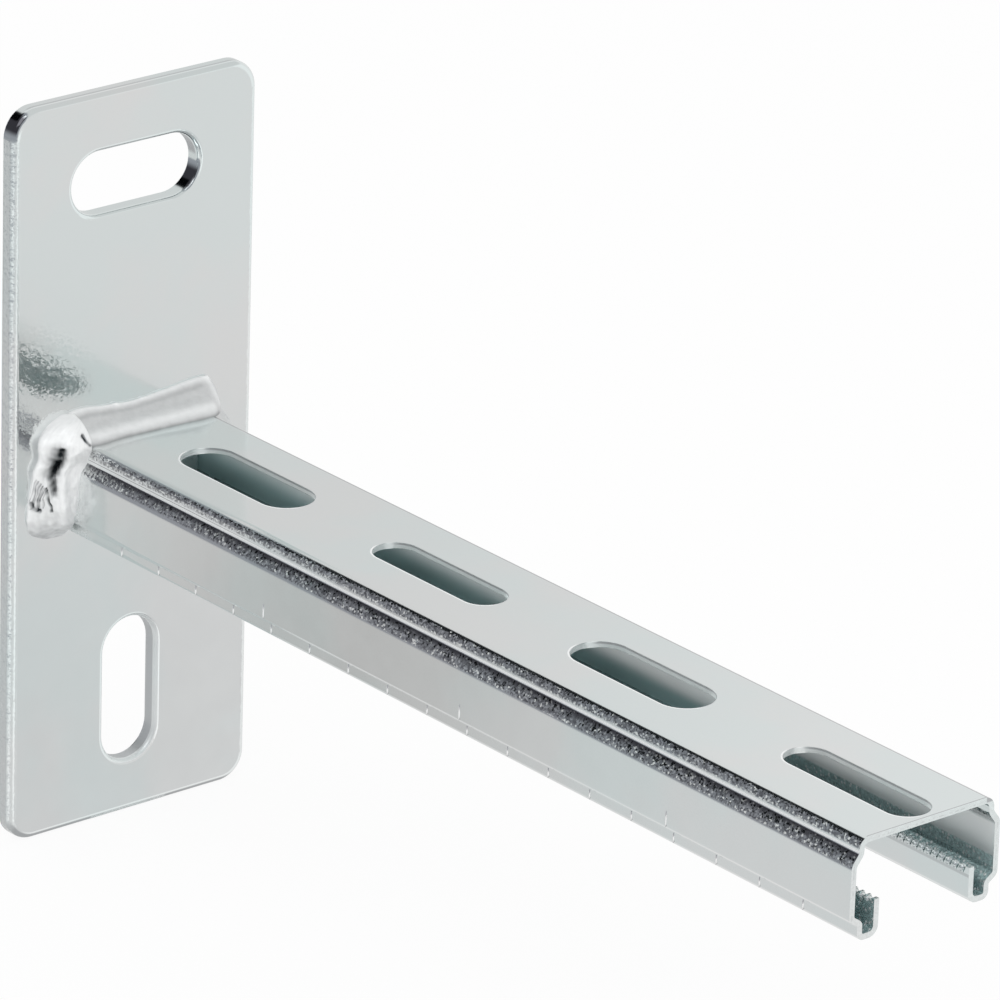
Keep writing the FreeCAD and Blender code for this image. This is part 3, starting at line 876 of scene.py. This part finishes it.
@dataclass
class ChannelRail:
    """The slotted channel with the length scale that is rolled into its near side."""

    node: str = "channel_rail"
    first_mark: float = 17.75 * MM
    mark_pitch: float = 10 * MM
    mark_count: int = 18
    first_long: int = 4
    long_every: int = 5
    foot_face: float = 13.3 * MM
    mark_width: float = 0.42 * MM
    mark_rise: float = 0.13 * MM
    mark_sides: int = 8
    short_span: Pair = (-10.4 * MM, -8.6 * MM)
    long_span: Pair = (-7.3 * MM, -4.5 * MM)
    # the scale's ridges are tinted lighter than the rail: a painted highlight
    lit_crest_cool: Colour = (0.93, 0.95, 0.95)
    lit_crest_warm: Colour = (0.95, 0.95, 0.945)
    tooth_pitch: float = 1.5 * MM
    tooth_count: int = 130
    tooth_half: Triple = (0.68 * MM, 0.74 * MM, 0.68 * MM)
    tooth_sides: int = 12
    tooth_roughness: float = 0.32
    lip_middle: float = 9.6 * MM
    lip_top: float = -4.9 * MM

    def dress(self) -> None:
        """Give the rail its zinc finish, its scale and its teeth."""
        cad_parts[self.node].data.materials[0] = RailZinc("rail_zinc_finish").material()
        LOG.info("%s dressed", self.node)
        self.scale_marks()
        self.tooth_crowns()

    def mark(self, mesh: bmesh.types.BMesh, along: float, wall: float, span: Pair) -> None:
        """Add one upright ridge of the scale, half sunk in the sheet.

        Args:
            mesh: The mesh that it is added to.
            along: Its place along X.
            wall: The distance of the face that carries it from the middle plane.
            span: Its lowest and highest point.
        """
        low, high = span
        half = (self.mark_width / 2, self.mark_rise, (high - low) / 2)
        add_lump(mesh, half, (along, -wall, (low + high) / 2), self.mark_sides)

    def scale_marks(self) -> None:
        """Build the scale: a short mark every pitch on the foot and a long one every fifth on the wall."""
        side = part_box(self.node)[1].y
        mesh = bmesh.new()
        for count in range(self.mark_count):
            along = self.first_mark + count * self.mark_pitch
            self.mark(mesh, along, self.foot_face, self.short_span)
            if count % self.long_every == self.first_long:
                self.mark(mesh, along, side, self.long_span)
        # lighter zinc on the ridges: a painted highlight
        lit_crest = Zinc("scale_zinc_lit", cool=self.lit_crest_cool, warm=self.lit_crest_warm)
        add_piece("length_scale", mesh, lit_crest.material())

    def tooth_crowns(self) -> None:
        """Round off the teeth of both lips, which the rolls have swollen into beads."""
        mesh = bmesh.new()
        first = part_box(self.node)[0].x + self.tooth_pitch
        for side in (-1, 1):
            place = (first, side * self.lip_middle, self.lip_top - self.tooth_half[2])
            add_lump(mesh, self.tooth_half, place, self.tooth_sides)
        finish = Zinc("tooth_finish", roughness=self.tooth_roughness)
        crowns = add_piece("lip_teeth", mesh, finish.material())
        row = crowns.modifiers.new("tooth_row", "ARRAY")
        row.use_relative_offset = False
        row.use_constant_offset = True
        row.constant_offset_displace = (self.tooth_pitch, 0, 0)
        row.count = self.tooth_count


@dataclass(frozen=True)
class Relief:
    """A lump or a hollow that follows a path over a bead, with the painted light or shade that it lays on the
    bead.

    A point of the path is a place along the bead in millimetres and a turn in degrees about its corner
    line, from 0 on the plate to 90 on the rail.
    """

    path: tuple[Pair, ...]
    height: float
    spread: float
    shade: float = 0.0

    def share(self, place: float, turn: float, arm: float, stray: Vector) -> float:
        """Return how much of it one point of the bead gets.

        Args:
            place: The point's place along the bead.
            turn: Its turn about the corner line.
            arm: Its distance from the corner line.
            stray: How far the path wanders off here, which makes its edges uneven.

        Returns:
            1 on the path, falling to 0 well beside it.
        """
        here = Vector((place, math.radians(turn) * arm)) + stray
        stops = [Vector((stop, math.radians(angle) * arm)) for stop, angle in self.path]
        gap = (here - stops[0]).length
        for start, end in zip(stops, stops[1:]):
            run = end - start
            part = min(max((here - start).dot(run) / run.length_squared, 0.0), 1.0)
            gap = min(gap, (here - start - run * part).length)
        return math.exp(-((gap / self.spread) ** 2))


@dataclass(frozen=True)
class Slice:
    """One slice of a bead: its place along it, and its legs up the plate and out along the rail."""

    place: float
    plate_leg: float
    rail_leg: float


@dataclass
class WeldBead:
    """A hand-laid fillet weld between the plate and the rail. All its sizes are millimetres.

    Its corner line lies a little inside the sheet, so that its toes always end in the metal.
    """

    name: str
    node: str
    out: Vector
    corner_reach: float
    slices: tuple[Slice, ...]
    reliefs: tuple[Relief, ...]
    # the bead's painted shade where no relief lies, 0 dark to 1 light
    shade: float = 0.8
    crown: float = 0.2
    front: float = 3.0
    shoulder_reach: float = 0.0
    shoulder_span: Pair = (1.2, 4.2)
    lumps: float = 0.10
    lump_size: float = 2.4
    ripple: float = 0.03
    ripple_size: float = 0.7
    stray: float = 0.2
    stray_size: float = 1.6
    cell: float = 0.14
    patchy: float = 0.0
    patch_size: float = 0.8
    fibre: float = 0.0
    fibre_size: Pair = (2.2, 0.3)
    sunk: float = 0.35
    least_leg: float = 0.05
    toe_share: float = 0.12
    weld_gap: float = 0.001

    def legs(self, place: float) -> Pair:
        """Return the two legs at a place, on a smooth curve through the slices.

        Args:
            place: The place along the bead.

        Returns:
            The leg up the plate and the leg out along the rail.
        """
        last = len(self.slices) - 1
        first = next((item for item in range(last) if place <= self.slices[item + 1].place), last - 1)
        near, far = self.slices[first], self.slices[first + 1]
        before, after = self.slices[max(first - 1, 0)], self.slices[min(first + 2, last)]
        length = far.place - near.place
        share = min(max((place - near.place) / length, 0.0), 1.0)
        square, cube = share ** 2, share ** 3
        found = []
        for name in ("plate_leg", "rail_leg"):
            start, end = getattr(near, name), getattr(far, name)
            slope_in = (end - getattr(before, name)) / (far.place - before.place) * length
            slope_out = (getattr(after, name) - start) / (after.place - near.place) * length
            leg = (2 * cube - 3 * square + 1) * start + (cube - 2 * square + share) * slope_in
            leg += (3 * square - 2 * cube) * end + (cube - square) * slope_out
            found.append(max(leg, self.least_leg))
        return found[0], found[1]

    def along(self) -> Vector:
        """Return the direction that the bead runs in."""
        return Vector((0, 0, 1)) if self.out.z == 0 else Vector((0, 1, 0))

    def corner(self, place: float) -> Vector:
        """Return the corner line's point at a place, which follows the rail's shoulder inwards."""
        reach = self.corner_reach + self.shoulder_reach * (1 - soft_step(*self.shoulder_span, place))
        return Vector((self.front - self.sunk, 0, 0)) + self.out * reach + self.along() * place

    def point(self, place: float, share: float) -> tuple[Vector, float]:
        """Return a point of the bead's face.

        Args:
            place: The place along the bead.
            share: The share of the way from the plate's toe to the rail's.

        Returns:
            The point and its painted shade, 0 dark to 1 light.
        """
        corner = self.corner(place)
        plate_leg, rail_leg = self.legs(place)
        plate_toe = corner + self.out * (plate_leg + self.sunk)
        rail_toe = corner + Vector((rail_leg + self.sunk, 0, 0))
        middle = (plate_toe + rail_toe) / 2 - corner
        face = plate_toe.lerp(rail_toe, share) + middle * self.crown * 4 * share * (1 - share)
        ray = face - corner
        turn = math.degrees(math.atan2(ray.x, ray.dot(self.out)))
        stray = noise.noise_vector(face / self.stray_size).to_2d() * self.stray
        shares = [relief.share(place, turn, ray.length, stray) for relief in self.reliefs]
        lift = sum(relief.height * part for relief, part in zip(self.reliefs, shares))
        # painted light and shade laid along the reliefs' paths, broken up by patches and fibres
        shade = sum(relief.shade * part for relief, part in zip(self.reliefs, shares))
        shade = self.shade + (1 + self.patchy * noise.noise(face / self.patch_size)) * shade
        length, width = self.fibre_size
        strand = Vector((place / length, math.radians(turn) * ray.length / width, 0.0))
        fibre = self.fibre * noise.noise(strand)
        shade += fibre
        lift += self.lumps * noise.noise(face / self.lump_size)
        lift += self.ripple * noise.noise(face / self.ripple_size) + fibre / 2
        size = min(1.0, ray.length) * soft_step(0.0, self.toe_share, min(share, 1 - share))
        return face + ray.normalized() * lift * size, shade

    def build(self) -> None:
        """Lay the bead in place of the plain solid, closed down to its corner line."""
        start, end = self.slices[0].place, self.slices[-1].place
        widest = max(math.hypot(item.plate_leg, item.rail_leg) for item in self.slices)
        mesh = bmesh.new()
        shades = mesh.verts.layers.float.new(SHADE)
        bmesh.ops.create_grid(
            mesh, x_segments=round((end - start) / self.cell), y_segments=round(widest / self.cell), size=1.0
        )
        places = {}
        for vert in mesh.verts:
            place = start + (end - start) * (vert.co.x + 1) / 2
            places[vert] = place
            point, vert[shades] = self.point(place, (vert.co.y + 1) / 2)
            vert.co = point * MM
        rim = [edge for edge in mesh.edges if edge.is_boundary]
        skirt = bmesh.ops.extrude_edge_only(mesh, edges=rim)["geom"]
        for vert in [item for item in skirt if isinstance(item, bmesh.types.BMVert)]:
            above = next(edge.other_vert(vert) for edge in vert.link_edges if edge.other_vert(vert) in places)
            vert.co = self.corner(places[above]) * MM
        bmesh.ops.remove_doubles(mesh, verts=mesh.verts, dist=self.weld_gap * MM)
        bmesh.ops.recalc_face_normals(mesh, faces=mesh.faces)
        finish = BeadZinc(f"{self.name}_finish")
        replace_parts(add_piece(self.name, mesh, finish.material()), self.node)


def top_bead() -> WeldBead:
    """Return the bead over the web: a flat face between two raised edges, blunt at its right end."""
    return WeldBead(
        name="top_bead", node="top_weld", out=Vector((0, 0, 1)), corner_reach=5.8, shade=0.68, crown=0.16,
        stray=0.1,
        slices=(
            Slice(-14.4, 1.2, 1.2), Slice(-13.6, 4.4, 5.0), Slice(-5.0, 4.0, 5.3), Slice(-0.6, 3.6, 5.6),
            Slice(6.0, 4.1, 6.0), Slice(12.0, 4.7, 6.2), Slice(14.4, 4.7, 5.0), Slice(15.8, 4.2, 3.4),
            Slice(16.7, 2.9, 1.9), Slice(17.2, 0.8, 0.6),
        ),
        # painted highlights on the ridges, the end and two small lumps; painted shade under the upper ridge,
        # along the toe on the rail and at the blunt end's edge
        reliefs=(
            Relief(((-14, 10), (15, 10)), 0.35, 0.6, 0.16),
            Relief(((-14, 1), (15, 1)), 0.0, 0.7, 0.16),
            Relief(((-14, 23), (13, 25)), -0.1, 0.5, -0.08),
            Relief(((-14, 48), (12, 46)), -0.25, 1.4),
            Relief(((-14, 73), (13, 75)), 0.35, 0.9, 0.16),
            Relief(((-14, 89), (14, 89)), 0.0, 0.35, -0.3),
            Relief(((15.0, 18), (15.2, 72)), 0.3, 0.9, 0.14),
            Relief(((17.0, 5), (17.0, 85)), 0.0, 0.3, -0.35),
            Relief(((-4.0, 9),), 0.2, 0.5, 0.2),
            Relief(((1.5, 9),), 0.15, 0.4, 0.15),
        ),
    )


def left_bead() -> WeldBead:
    """Return the near side's bead: a round blob above, a deep crevice and a scratched face below."""
    # scratches: fine grooves with painted shade in them
    scratches = [
        Relief(((0.6 - 0.3 * item, 13 + 2.9 * item), (-1.6, 9 + 3.0 * item), (end, 5 + 3.0 * item)),
               -0.2, 0.12, shade)
        for item, (end, shade) in enumerate((
            (-3.2, -0.35), (-4.6, -0.5), (-3.8, -0.3), (-5.0, -0.55), (-4.2, -0.4), (-3.0, -0.5),
            (-4.4, -0.3),
        ))
    ]
    return WeldBead(
        name="left_bead", node="left_weld", out=Vector((0, -1, 0)), corner_reach=13.1, shoulder_reach=1.5,
        shade=0.9, crown=0.26, lumps=0.45, lump_size=3.0, ripple=0.08, ripple_size=0.9, cell=0.10,
        patchy=0.8, fibre=0.06, fibre_size=(1.6, 0.35), stray=0.28, stray_size=1.1,
        slices=(
            Slice(-11.0, 4.0, 0.3), Slice(-10.0, 6.3, 1.3), Slice(-8.4, 6.9, 3.0), Slice(-4.8, 7.0, 4.6),
            Slice(-1.0, 6.4, 5.2), Slice(2.0, 5.9, 5.6), Slice(4.2, 6.2, 5.8), Slice(6.8, 6.2, 6.0),
            Slice(8.6, 5.0, 4.8), Slice(9.8, 3.3, 3.2), Slice(10.5, 1.2, 1.2),
        ),
        # painted light on the blob and the ridges, painted shade in the pit, the crevice and the grooves, and
        # darker towards the bottom
        reliefs=(
            Relief(((6.0, 36),), 0.9, 2.8, 0.05),
            Relief(((3.0, 10), (6.5, 12)), 0.7, 1.3, 0.1),
            Relief(((7.6, 55), (6.2, 70)), 0.3, 1.2, 0.08),
            Relief(((5.8, 43), (5.2, 42)), -0.9, 0.55, -0.7),
            Relief(((5.2, 38), (3.4, 33), (1.9, 35)), -0.9, 1.4, -0.5),
            Relief(((4.6, 41), (3.2, 39), (2.2, 37)), -0.5, 0.5, -0.35),
            Relief(((3.0, 33), (0.4, 37), (-1.8, 40)), -1.2, 0.55, -0.6),
            Relief(((6.7, 87), (8.0, 78)), -0.5, 0.26, -0.75),
            Relief(((5.0, 57), (1.5, 54), (-3.1, 58), (-7.4, 62)), 0.6, 0.8, 0.12),
            Relief(((0.5, 84), (-7.0, 84)), 0.2, 0.8, 0.15),
            Relief(((2.2, 12), (-1.5, 6), (-6.5, 5)), 0.4, 0.8, 0.14),
            Relief(((-3.6, 7), (-4.7, 12), (-4.8, 17)), -0.4, 0.3, -0.6),
            Relief(((-0.8, 28), (-2.6, 31), (-4.8, 38)), -0.6, 0.18, -0.7),
            *scratches,
            Relief(((0.8, 27), (-2.4, 27)), 0.35, 0.4, 0.12),
            Relief(((-9.8, 4), (-9.6, 80)), 0.0, 4.0, -0.15),
        ),
    )


def right_bead() -> WeldBead:
    """Return the far side's bead, short and plain."""
    return WeldBead(
        name="right_bead", node="right_weld", out=Vector((0, 1, 0)), corner_reach=13.1, shoulder_reach=1.5,
        shade=0.72, crown=0.22, lumps=0.25, cell=0.22,
        slices=(
            Slice(-11.0, 1.6, 1.2), Slice(-10.4, 3.6, 2.8), Slice(-8.0, 4.8, 3.6), Slice(-2.5, 5.3, 4.0),
            Slice(2.0, 5.6, 4.0), Slice(5.0, 4.6, 3.2), Slice(6.0, 2.6, 1.8),
        ),
        reliefs=(Relief(((-9.0, 45), (4.0, 45)), 0.2, 1.2),),
    )


@dataclass
class Tent:
    """A light tent that only the metal's reflections see: pale skin, a black arch and two bright panels.

    Angles are degrees round the X axis, up from +Y. A reach is a share of the tent's radius along X.
    """

    radius: float = 2.5
    fineness: int = 5
    web_tones: tuple[Colour, Colour] = ((0.72, 0.715, 0.715), (0.85, 0.835, 0.835))
    web_reach: Pair = (-0.715, -0.60)
    wall_side: Pair = (0.0, -0.3)
    wall_tone: Colour = (0.48, 0.47, 0.465)
    wall_end_tone: Colour = (0.70, 0.71, 0.715)
    wall_reach: Pair = (-0.72, -0.675)
    wall_soft: float = 0.012
    plate_tone: Colour = (0.785, 0.765, 0.765)
    plate_low_tone: Colour = (0.665, 0.66, 0.665)
    plate_fade: Pair = (-0.33, -0.42)
    plate_reach: Pair = (-0.1, 0.3)
    cut_tone: Colour = (0.92, 0.92, 0.92)
    cut_fade: Pair = (0.70, 0.675)
    cut_side: Pair = (0.35, 0.5)
    sky_tone: Colour = (0.69, 0.685, 0.685)
    sky_fade: Pair = (0.45, 0.62)
    sky_reach: Pair = (-0.55, -0.35)
    ground_tone: Colour = (0.42, 0.42, 0.43)
    ground_fade: Pair = (-0.66, -0.80)
    ground_reach: Pair = (-0.60, -0.45)
    black: Colour = (0.012, 0.014, 0.016)
    dusk: Colour = (0.31, 0.315, 0.345)
    arch_start: float = 92.0
    dusk_start: float = 128.0
    arch_end: float = 200.0
    arch_soft: float = 5.0
    arch_reach: Pair = (0.94, 0.92)
    black_reach: Pair = (-0.5, -0.4)
    panel_ways: tuple[Triple, ...] = ((0.93, 0.02, -0.37), (0.22, -0.90, -0.37))
    panel_spread: Pair = (22.0, 8.0)
    panel_tone: Colour = (1.1, 1.1, 1.1)

    def arch(self, recipe: Recipe, way: Feed) -> tuple[Feed, Feed]:
        """Return where the black arch hangs and where it pales to dusk.

        Args:
            recipe: The tent's skin.
            way: The direction of a point of it.

        Returns:
            The arch's mask and the dusk's.
        """
        angle = (self.arch_start + self.arch_end) / 2
        middle, soft = math.radians(angle), math.radians(self.arch_soft) / 2
        half = math.radians(self.arch_end - angle)
        ahead = recipe.dot(way, (0.0, math.cos(middle), math.sin(middle)))
        aside = recipe.dot(way, (0.0, -math.sin(middle), math.cos(middle)))
        turn = recipe.maths("ARCTAN2", aside, ahead)
        forward = recipe.dot(way, (1.0, 0.0, 0.0))
        arch = recipe.all_of(
            recipe.step(recipe.size(turn), half + soft, half - soft),
            recipe.step(recipe.size(forward), *self.arch_reach),
        )
        edge = math.radians(self.dusk_start) - middle
        dusk = recipe.step(turn, edge - soft, edge + soft)
        return arch, recipe.any_of(dusk, recipe.step(forward, *self.black_reach))

    def material(self) -> bpy.types.Material:
        """Paint the tent's skin and return its material."""
        recipe = Recipe("tent_skin")
        way = recipe.vectors("NORMALIZE", recipe.place)
        forward, side, up = recipe.axes(way)
        near_tone, end_tone = self.web_tones
        aside = recipe.step(side, *self.wall_side)
        wall = recipe.all_of(recipe.within(forward, *self.wall_reach, self.wall_soft), aside)
        cut = recipe.all_of(recipe.step(forward, *self.cut_fade), recipe.step(side, *self.cut_side))
        low = recipe.step(up, *self.plate_fade)
        plate = recipe.lay(self.plate_tone, (low, self.plate_low_tone), (cut, self.cut_tone))
        wide, narrow = (math.cos(math.radians(angle)) for angle in self.panel_spread)
        panels = [
            (recipe.step(recipe.dot(way, tuple(Vector(panel).normalized())), wide, narrow), self.panel_tone)
            for panel in self.panel_ways
        ]
        sky = recipe.all_of(recipe.step(up, *self.sky_fade), recipe.step(forward, *self.sky_reach))
        ground = recipe.all_of(recipe.step(up, *self.ground_fade), recipe.step(forward, *self.ground_reach))
        arch, dusk = self.arch(recipe, way)
        return recipe.glow(recipe.lay(
            near_tone,
            (recipe.step(forward, *self.web_reach), recipe.mix(aside, end_tone, self.wall_end_tone)),
            (wall, self.wall_tone),
            (recipe.step(forward, *self.plate_reach), plate),
            *panels,
            (sky, self.sky_tone),
            (ground, self.ground_tone),
            (arch, recipe.mix(dusk, self.black, self.dusk)),
        ))

    def build(self) -> None:
        """Put the tent up round the arm."""
        mesh = bmesh.new()
        bmesh.ops.create_icosphere(mesh, subdivisions=self.fineness, radius=self.radius)
        tent = make_object("light_tent", mesh, self.material())
        tent.visible_camera = False
        tent.visible_diffuse = False
        tent.visible_shadow = False
        tent.visible_transmission = False


@dataclass
class Studio:
    """A pale floor, a soft lamp, the light tent and the photograph's camera."""

    target: Vector = Vector((97.78, 0.42, 23.15)) * MM
    azimuth: float = 49.9
    elevation: float = 22.09
    roll: float = 1.79
    distance: float = 1322.36 * MM
    focal_pixels: float = 8390.98
    frame_pixels: float = 1000.0
    sensor: float = 36.0
    clip: Pair = (0.01, 100.0)
    floor_size: float = 12.0
    floor_tone: float = 0.86
    camera_white: float = 0.92
    fill_level: float = 0.9
    key_way: Vector = Vector((0.25, -0.5, 0.8))
    key_distance: float = 1.6
    key_size: float = 1.1
    key_level: float = 1.7

    def stand(self, data: bpy.types.ID, spot: Vector, way: Vector, roll: float = 0.0) -> bpy.types.Object:
        """Stand a camera or a lamp in the scene.

        Args:
            data: The camera or the lamp.
            spot: Where it stands.
            way: Where it looks.
            roll: How many degrees it is rolled about that line.

        Returns:
            The new object.
        """
        made = bpy.data.objects.new(data.name, data)
        made.location = spot
        made.rotation_mode = "QUATERNION"
        made.rotation_quaternion = way.to_track_quat("-Z", "Y") @ Quaternion((0, 0, 1), math.radians(roll))
        bpy.context.scene.collection.objects.link(made)
        return made

    def camera(self) -> None:
        """Set the camera where the photograph's stood."""
        turn, rise = math.radians(self.azimuth), math.radians(self.elevation)
        back = Vector((math.sin(turn) * math.cos(rise), -math.cos(turn) * math.cos(rise), math.sin(rise)))
        data = bpy.data.cameras.new("photo_camera")
        data.sensor_width = self.sensor
        data.lens = self.focal_pixels / self.frame_pixels * self.sensor
        data.clip_start, data.clip_end = self.clip
        bpy.context.scene.camera = self.stand(data, self.target + back * self.distance, -back, self.roll)

    def key_lamp(self) -> None:
        """Hang the square softbox that faces the arm from above the camera's left."""
        data = bpy.data.lights.new("key_lamp", "AREA")
        data.shape = "SQUARE"
        data.size = self.key_size
        data.energy = self.key_level * math.pi * self.key_size ** 2
        self.stand(data, self.target + self.key_way.normalized() * self.key_distance, -self.key_way)

    def seen(self, nodes: Nodes) -> Feed:
        """Return 1 for the rays that see the white background: camera, glossy and transmission."""
        rays = nodes.node("LightPath", {}).outputs
        return nodes.any_of(*(rays[f"Is {kind} Ray"] for kind in ("Camera", "Glossy", "Transmission")))

    def world(self) -> None:
        """Set a white background over an even, dimmer fill."""
        world = bpy.data.worlds.new("studio")
        world.use_nodes = True
        nodes = Nodes(world.node_tree)
        background = nodes.tree.nodes["Background"]
        nodes.feed(background.inputs["Color"], WHITE)
        nodes.feed(background.inputs["Strength"], nodes.span(self.seen(nodes), self.fill_level, 1.0))
        bpy.context.scene.world = world

    def floor(self) -> None:
        """Lay the pale floor under the arm. It keeps the shadow, and the metal reflects the tent instead."""
        mesh = bmesh.new()
        bmesh.ops.create_grid(mesh, x_segments=1, y_segments=1, size=self.floor_size / 2)
        bmesh.ops.translate(mesh, vec=(0, 0, CAD_BOX[0].z), verts=mesh.verts)
        recipe = Recipe("floor_paint")
        paint = recipe.node("BsdfDiffuse", {"Color": (self.floor_tone,) * 3}).outputs[0]
        glow = recipe.node("Emission", {"Color": WHITE}).outputs[0]
        share = recipe.all_of(self.seen(recipe), self.camera_white)
        mix = recipe.node("MixShader", {0: share, 1: paint, 2: glow})
        floor = make_object("floor", mesh, recipe.surface(mix.outputs[0]))
        floor.visible_glossy = False

    def build(self) -> None:
        """Build the whole studio."""
        self.camera()
        self.world()
        self.floor()
        self.key_lamp()
        Tent().build()
        bpy.context.scene.view_settings.view_transform = "Standard"
        LOG.info("studio built")


def main() -> None:
    """Dress the arm and build its studio."""
    logging.basicConfig(level=logging.INFO, format="%(message)s")
    noise.seed_set(NOISE_SEED)
    WallPlate().dress()
    ChannelRail().dress()
    for bead in (top_bead(), left_bead(), right_bead()):
        bead.build()
    Studio().build()


if __name__ == "__main__":
    main()
